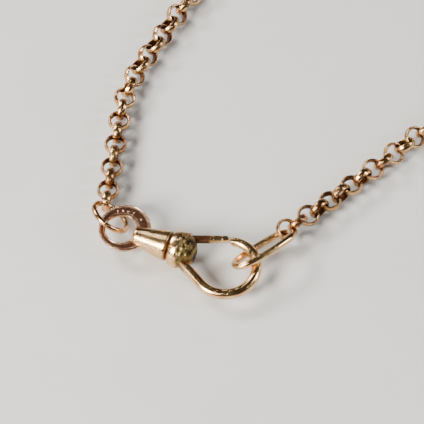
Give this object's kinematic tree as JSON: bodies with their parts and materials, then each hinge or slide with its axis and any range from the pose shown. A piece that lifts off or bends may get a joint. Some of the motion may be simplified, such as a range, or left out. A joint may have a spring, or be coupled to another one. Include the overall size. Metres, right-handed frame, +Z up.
{
  "type": "pocket watch chain",
  "caption": "Belcher-link watch chain lying as a closed loop, its swivel dog clip snapped onto the oval ring at the chain's other end.",
  "frame": {"origin": "middle of the hook's round bend, where a watch's bow hangs", "axes": "+Z up from the table the chain lies on, +Y the way the loop runs away from the clip, +X to the clip's hook side"},
  "size_m": [0.0738, 0.1019, 0.005],
  "materials": {
    "polished_gold": "polished gold alloy, softly worn",
    "worn_gold": "cast gold alloy, pitted and toned olive and copper",
    "dark_gold": "toned gold alloy with bright edges",
    "link_gold": "polished rose gold alloy, worn facets",
    "spring_steel": "spring steel leaf"
  },
  "bodies": {
    "clip": {"clip_head": "worn_gold", "hook": "polished_gold", "gate_pin": "dark_gold", "gate_spring": "spring_steel", "swivel_rivet": "dark_gold"},
    "gate": {"gate": "polished_gold"},
    "swivel": {"swivel_barrel": "polished_gold", "bail": "dark_gold"},
    "jump_ring": {"jump_ring": "link_gold"},
    "end_ring": {"oval_end_ring": "polished_gold"},
    "strand_a_1": {"strand_a_link_01": "link_gold", "strand_a_link_02": "link_gold", "strand_a_link_03": "link_gold", "strand_a_link_04": "link_gold"},
    "strand_a_2": {"strand_a_link_05": "link_gold", "strand_a_link_06": "link_gold"},
    "strand_a_3": {"strand_a_link_07": "link_gold", "strand_a_link_08": "link_gold"},
    "strand_a_4": {"strand_a_link_09": "link_gold", "strand_a_link_10": "link_gold", "strand_a_link_11": "link_gold", "strand_a_link_12": "link_gold", "strand_a_link_13": "link_gold", "strand_a_link_14": "link_gold", "strand_a_link_15": "link_gold", "strand_a_link_16": "link_gold", "strand_a_link_17": "link_gold", "strand_a_link_18": "link_gold", "strand_a_link_19": "link_gold", "strand_a_link_20": "link_gold", "strand_a_link_21": "link_gold", "strand_a_link_22": "link_gold"},
    "strand_b_1": {"strand_b_link_01": "link_gold", "strand_b_link_02": "link_gold", "strand_b_link_03": "link_gold", "strand_b_link_04": "link_gold", "strand_b_link_05": "link_gold"},
    "strand_b_2": {"strand_b_link_06": "link_gold", "strand_b_link_07": "link_gold"},
    "strand_b_3": {"strand_b_link_08": "link_gold", "strand_b_link_09": "link_gold", "strand_b_link_10": "link_gold", "strand_b_link_11": "link_gold", "strand_b_link_12": "link_gold", "strand_b_link_13": "link_gold", "strand_b_link_14": "link_gold", "strand_b_link_15": "link_gold", "strand_b_link_16": "link_gold", "strand_b_link_17": "link_gold"},
    "first_turn": {"first_turn_links": "link_gold"},
    "far_b_1": {"far_strand_b_links_1": "link_gold"},
    "far_b_2": {"far_strand_b_links_2": "link_gold"},
    "far_b_3": {"far_strand_b_links_3": "link_gold"},
    "middle_turn": {"middle_turn_links": "link_gold"},
    "far_a_1": {"far_strand_a_links_1": "link_gold"},
    "far_a_2": {"far_strand_a_links_2": "link_gold"},
    "far_a_3": {"far_strand_a_links_3": "link_gold"},
    "far_a_4": {"far_strand_a_links_4": "link_gold"},
    "last_turn": {"last_turn_links": "link_gold"}
  },
  "joints": [
    {"name": "gate_hinge", "type": "hinge", "parent": "clip", "child": "gate", "pos_m": [-0.00451, 0.00418, 0.00024], "axis": [0.0375, 0.0976, -0.9945], "range_deg": [0, 25], "stiffness_Nm_per_rad": 0.005, "springref_deg": -28.65},
    {"name": "swivel_turn", "type": "hinge", "parent": "clip", "child": "swivel", "pos_m": [0.00014, 0.00037, 0.00004], "axis": [0.9336, -0.3584, 0], "range_deg": [-25, 45]},
    {"name": "jump_ring_spin", "type": "hinge", "parent": "clip", "child": "jump_ring", "pos_m": [-0.01499, 0.00804, -0.00023], "axis": [0.5567, 0.3214, 0.766], "continuous": true},
    {"name": "end_ring_tilt", "type": "hinge", "parent": "clip", "child": "end_ring", "pos_m": [0.00495, 0.0027, 0.00014], "axis": [0.7761, 0.6285, -0.0523], "range_deg": [-10, 1]},
    {"name": "strand_a_bend", "type": "hinge", "parent": "clip", "child": "strand_a_1", "pos_m": [-0.01568, 0.00978, -0.00096], "axis": [0, 0, 1], "range_deg": [-5, 5]},
    {"name": "strand_a_bend_2", "type": "hinge", "parent": "strand_a_1", "child": "strand_a_2", "pos_m": [-0.01486, 0.01643, -0.00096], "axis": [0, 0, 1], "range_deg": [-5, 5]},
    {"name": "strand_a_bend_3", "type": "hinge", "parent": "strand_a_2", "child": "strand_a_3", "pos_m": [-0.0144, 0.0202, -0.00096], "axis": [0, 0, 1], "range_deg": [-5, 5]},
    {"name": "strand_a_bend_4", "type": "hinge", "parent": "strand_a_3", "child": "strand_a_4", "pos_m": [-0.01394, 0.02397, -0.00096], "axis": [0, 0, 1], "range_deg": [-5, 5]},
    {"name": "first_turn_bend", "type": "hinge", "parent": "strand_a_4", "child": "first_turn", "pos_m": [-0.00262, 0.04779, -0.00096], "axis": [0, 0, 1], "range_deg": [-20, 20]},
    {"name": "strand_b_bend", "type": "hinge", "parent": "clip", "child": "strand_b_1", "pos_m": [0.00796, 0.00606, -0.00096], "axis": [0, 0, 1], "range_deg": [-4, 4]},
    {"name": "strand_b_bend_2", "type": "hinge", "parent": "strand_b_1", "child": "strand_b_2", "pos_m": [0.01365, 0.01108, -0.00096], "axis": [0, 0, 1], "range_deg": [-4, 4]},
    {"name": "strand_b_bend_3", "type": "hinge", "parent": "strand_b_2", "child": "strand_b_3", "pos_m": [0.01648, 0.01362, -0.00096], "axis": [0, 0, 1], "range_deg": [-4, 4]},
    {"name": "far_b_bend_1", "type": "hinge", "parent": "first_turn", "child": "far_b_1", "pos_m": [0.01358, 0.07211, -0.00096], "axis": [0, 0, 1], "range_deg": [-4, 4]},
    {"name": "far_b_bend_2", "type": "hinge", "parent": "far_b_1", "child": "far_b_2", "pos_m": [0.01928, 0.07713, -0.00096], "axis": [0, 0, 1], "range_deg": [-4, 4]},
    {"name": "far_b_bend_3", "type": "hinge", "parent": "far_b_2", "child": "far_b_3", "pos_m": [0.02211, 0.07967, -0.00096], "axis": [0, 0, 1], "range_deg": [-4, 4]},
    {"name": "middle_turn_bend", "type": "hinge", "parent": "far_b_3", "child": "middle_turn", "pos_m": [0.03598, 0.09264, -0.00096], "axis": [0, 0, 1], "range_deg": [-12, 12]},
    {"name": "far_a_bend_1", "type": "hinge", "parent": "middle_turn", "child": "far_a_1", "pos_m": [0.05481, 0.08325, -0.00096], "axis": [0, 0, 1], "range_deg": [-5, 5]},
    {"name": "far_a_bend_2", "type": "hinge", "parent": "far_a_1", "child": "far_a_2", "pos_m": [0.054, 0.0766, -0.00096], "axis": [0, 0, 1], "range_deg": [-5, 5]},
    {"name": "far_a_bend_3", "type": "hinge", "parent": "far_a_2", "child": "far_a_3", "pos_m": [0.05353, 0.07283, -0.00096], "axis": [0, 0, 1], "range_deg": [-5, 5]},
    {"name": "far_a_bend_4", "type": "hinge", "parent": "far_a_3", "child": "far_a_4", "pos_m": [0.05307, 0.06906, -0.00096], "axis": [0, 0, 1], "range_deg": [-5, 5]},
    {"name": "last_turn_bend", "type": "hinge", "parent": "far_a_4", "child": "last_turn", "pos_m": [0.04175, 0.04524, -0.00096], "axis": [0, 0, 1], "range_deg": [-20, 20]}
  ],
  "couplings": [
    {"joint": "strand_a_bend_2", "follows": "strand_a_bend", "ratio": 1},
    {"joint": "strand_a_bend_3", "follows": "strand_a_bend", "ratio": 1},
    {"joint": "strand_a_bend_4", "follows": "strand_a_bend", "ratio": 1},
    {"joint": "far_a_bend_1", "follows": "strand_a_bend", "ratio": 1},
    {"joint": "far_a_bend_2", "follows": "strand_a_bend", "ratio": 1},
    {"joint": "far_a_bend_3", "follows": "strand_a_bend", "ratio": 1},
    {"joint": "far_a_bend_4", "follows": "strand_a_bend", "ratio": 1},
    {"joint": "first_turn_bend", "follows": "strand_a_bend", "ratio": -4},
    {"joint": "last_turn_bend", "follows": "strand_a_bend", "ratio": -4},
    {"joint": "strand_b_bend_2", "follows": "strand_b_bend", "ratio": 1},
    {"joint": "strand_b_bend_3", "follows": "strand_b_bend", "ratio": 1},
    {"joint": "far_b_bend_1", "follows": "strand_b_bend", "ratio": 1},
    {"joint": "far_b_bend_2", "follows": "strand_b_bend", "ratio": 1},
    {"joint": "far_b_bend_3", "follows": "strand_b_bend", "ratio": 1},
    {"joint": "middle_turn_bend", "follows": "strand_b_bend", "ratio": -3}
  ]
}
